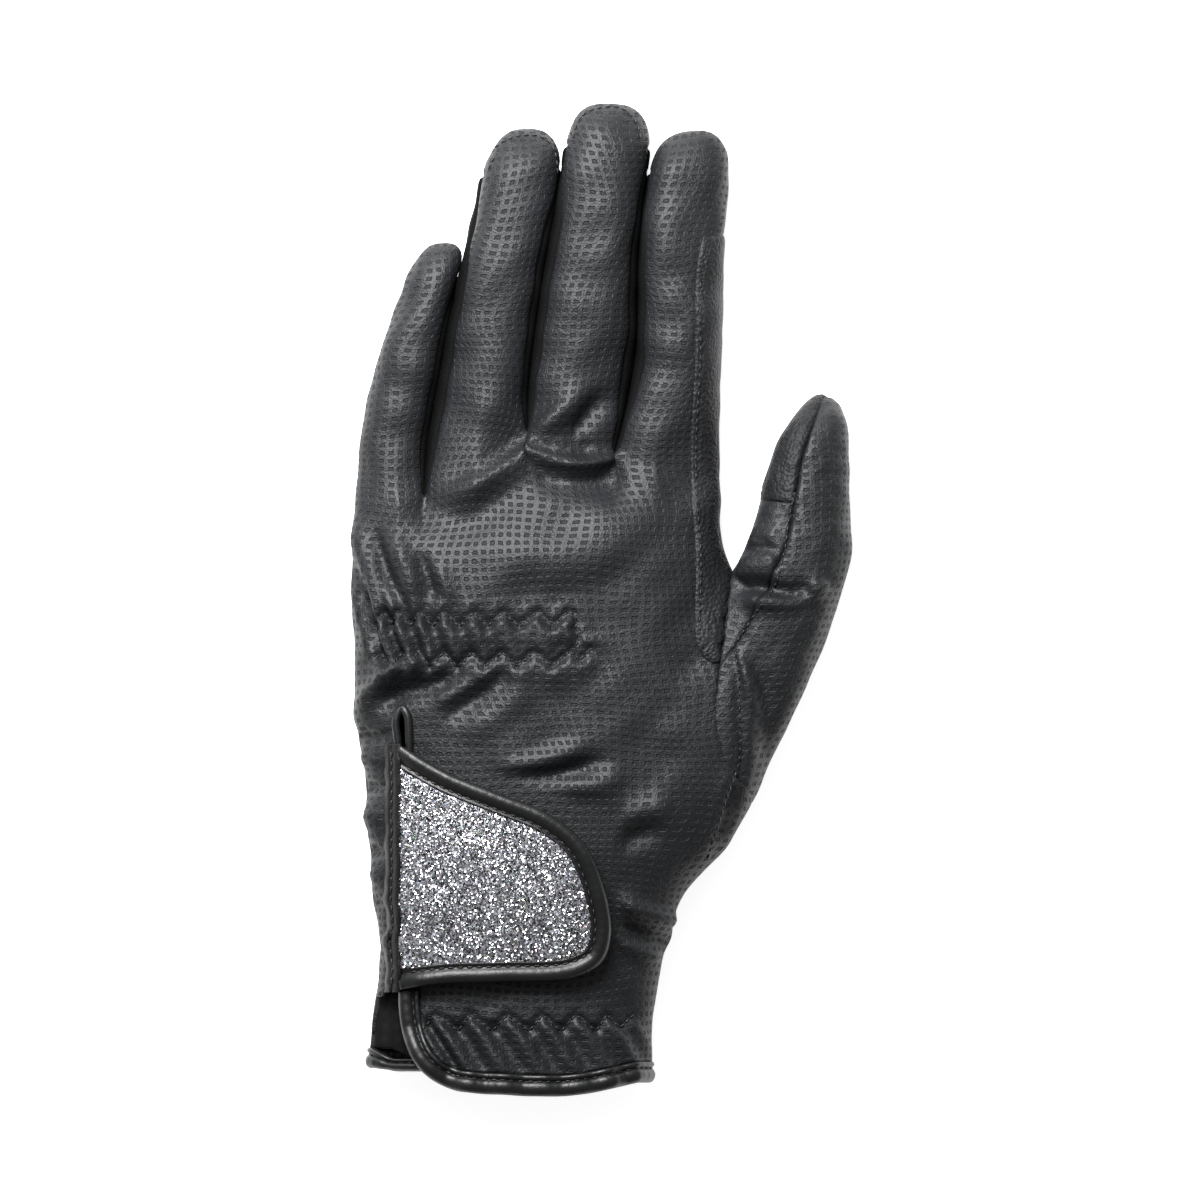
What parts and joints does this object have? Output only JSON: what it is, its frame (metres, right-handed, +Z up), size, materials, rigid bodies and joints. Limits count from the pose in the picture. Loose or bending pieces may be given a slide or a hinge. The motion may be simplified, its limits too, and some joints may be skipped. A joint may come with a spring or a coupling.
{
  "type": "horse riding glove",
  "caption": "Hollow left-hand riding glove lying palm down, with embossed back, side walls between the fingers, wrist gathers and a bound closure tab with a glitter inset.",
  "frame": {"origin": "middle of the bounding box's underside, on the surface that the glove lies on", "axes": "+Y from the wrist to the fingertips, +X towards the thumb, +Z up through the back of the hand"},
  "size_m": [0.1204, 0.2394, 0.0334],
  "materials": {
    "embossed_leather": "matt synthetic leather embossed with a grid of small squares",
    "smooth_leather": "smooth matt synthetic leather",
    "binding_leather": "soft folded synthetic leather tape with a low sheen",
    "grip_fabric": "fine grip fabric",
    "gusset_fabric": "matt stretch fabric",
    "hook_and_loop": "hook-and-loop pile",
    "glitter_fabric": "silver glitter bonded to fabric"
  },
  "bodies": {
    "root": {"back_panel": "embossed_leather", "palm_panel": "smooth_leather", "fourchette_little_ring": "smooth_leather", "fourchette_ring_middle": "smooth_leather", "fourchette_middle_index": "smooth_leather", "index_patch": "smooth_leather", "thumb_outer": "embossed_leather", "thumb_inner": "smooth_leather", "thumb_tip_patch": "grip_fabric", "vent_gusset": "gusset_fabric", "vent_piping": "binding_leather", "tab_anchor": "binding_leather", "tab_fastener": "hook_and_loop", "tab_base": "smooth_leather", "tab_binding": "binding_leather", "tab_glitter": "glitter_fabric", "hem_binding_back": "binding_leather", "hem_binding_palm": "binding_leather"}
  },
  "joints": []
}
